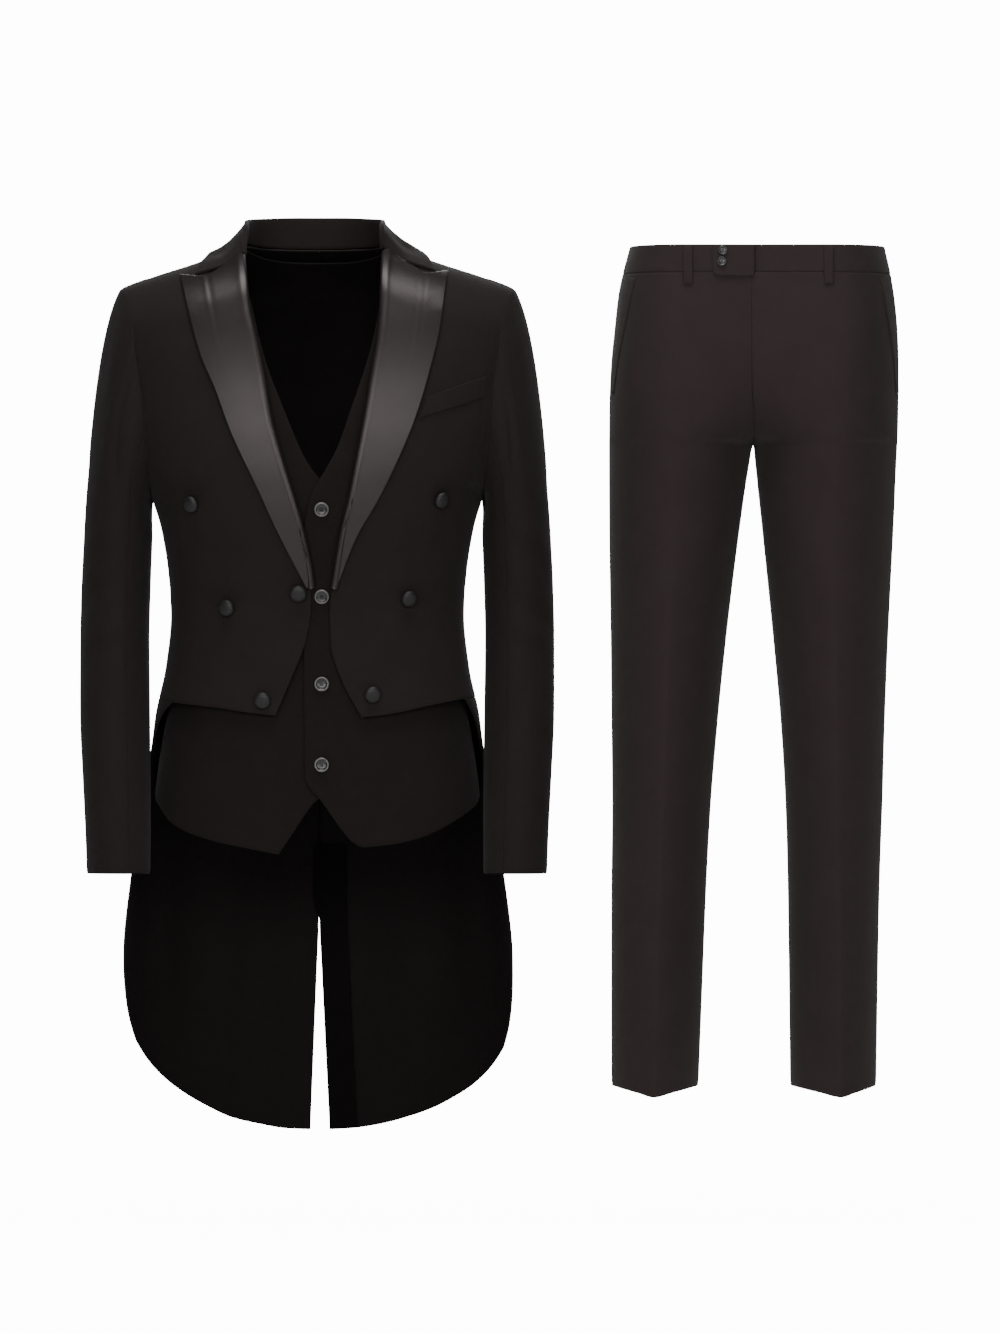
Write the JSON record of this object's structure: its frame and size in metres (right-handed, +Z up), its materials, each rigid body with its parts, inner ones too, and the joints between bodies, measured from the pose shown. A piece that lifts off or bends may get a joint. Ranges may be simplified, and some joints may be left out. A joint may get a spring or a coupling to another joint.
{
  "type": "three-piece tuxedo",
  "caption": "Formal suit of tailcoat with satin lapels and waistcoat, filled out as worn, and its creased trousers hung beside them.",
  "frame": {"origin": "the wearer's neck: the middle of the coat between the shoulders, at the height of the shoulder line beside the neck", "axes": "+X to the wearer's left, towards the trousers, +Y to the back, +Z up"},
  "size_m": [0.9492, 0.2946, 1.064],
  "materials": {
    "wool": "matte black wool with a fine weave",
    "satin": "soft black satin",
    "waistcoat_wool": "matte black wool",
    "trouser_wool": "matte charcoal-black wool with a pressed crease",
    "button": "glossy dark rim round a dull middle"
  },
  "bodies": {
    "root": {"belt_loop_back": "trouser_wool", "belt_loop_front_L": "trouser_wool", "belt_loop_front_R": "trouser_wool", "belt_loop_side_L": "trouser_wool", "belt_loop_side_R": "trouser_wool", "breast_welt": "wool", "coat_back_L": "wool", "coat_back_R": "wool", "coat_button_L1": "satin", "coat_button_L2": "satin", "coat_button_L3": "satin", "coat_button_R1": "satin", "coat_button_R2": "satin", "coat_button_R3": "satin", "coat_button_R4": "satin", "coat_front_L": "wool", "coat_front_R": "wool", "coat_tail_L": "wool", "coat_tail_R": "wool", "collar": "wool", "lapel_L": "satin", "lapel_R": "satin", "pocket_edge_L": "trouser_wool", "pocket_edge_R": "trouser_wool", "sleeve_top_L": "wool", "sleeve_top_R": "wool", "sleeve_under_L": "wool", "sleeve_under_R": "wool", "tab_button_1": "button", "tab_button_2": "button", "trouser_back_L": "trouser_wool", "trouser_back_R": "trouser_wool", "trouser_front_L": "trouser_wool", "trouser_front_R": "trouser_wool", "vent_band": "wool", "waistband": "trouser_wool", "waistband_tab": "trouser_wool", "waistcoat_back": "waistcoat_wool", "waistcoat_button_1": "button", "waistcoat_button_2": "button", "waistcoat_button_3": "button", "waistcoat_button_4": "button", "waistcoat_front_L": "waistcoat_wool", "waistcoat_front_R": "waistcoat_wool"}
  },
  "joints": []
}
